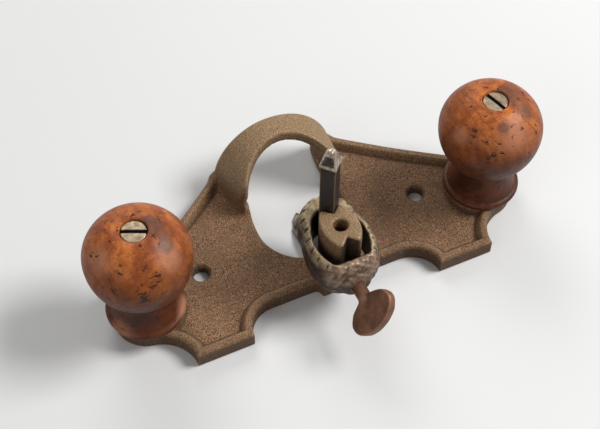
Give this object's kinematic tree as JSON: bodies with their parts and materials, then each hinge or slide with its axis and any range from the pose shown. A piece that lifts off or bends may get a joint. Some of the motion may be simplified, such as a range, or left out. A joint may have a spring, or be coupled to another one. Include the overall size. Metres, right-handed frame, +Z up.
{
  "type": "hand router plane",
  "caption": "Hand router plane: flat cast base with an arched open throat, wooden knobs at both ends and a square-shank cutter clamped to a grooved post by a collar and thumbscrew.",
  "frame": {"origin": "on the sole, midway between the two sole screw holes", "axes": "+X along the base to the right knob, +Y to the front where the arch is, +Z up"},
  "size_m": [0.2062, 0.1139, 0.0817],
  "materials": {
    "casting": "brown cast skin",
    "knob_wood": "worn varnish",
    "nut_metal": "dulled plate",
    "stud_metal": "plain",
    "collar_metal": "worn plate",
    "screw_metal": "brown patina",
    "cutter_metal": "dark patina"
  },
  "bodies": {
    "base": {"base_casting": "casting", "left_knob": "knob_wood", "right_knob": "knob_wood", "left_stud": "stud_metal", "right_stud": "stud_metal", "left_nut": "nut_metal", "right_nut": "nut_metal"},
    "thumbscrew": {"thumbscrew": "screw_metal"},
    "collar": {"clamp_collar": "collar_metal"},
    "cutter": {"cutter": "cutter_metal"}
  },
  "joints": [
    {"name": "cutter_depth", "type": "slide", "parent": "base", "child": "cutter", "axis": [0, 0, 1], "range_m": [-0.02, 0.009]},
    {"name": "thumbscrew_turn", "type": "hinge", "parent": "base", "child": "thumbscrew", "pos_m": [0, -0.045, 0.0254], "axis": [0, 1, 0], "range_deg": [-540, 0]},
    {"name": "collar_clamp", "type": "slide", "parent": "base", "child": "collar", "axis": [0, 1, 0], "range_m": [0, 0.00191]}
  ],
  "couplings": [
    {"joint": "thumbscrew_turn", "follows": "collar_clamp", "rad_per_m": -4947.4}
  ]
}
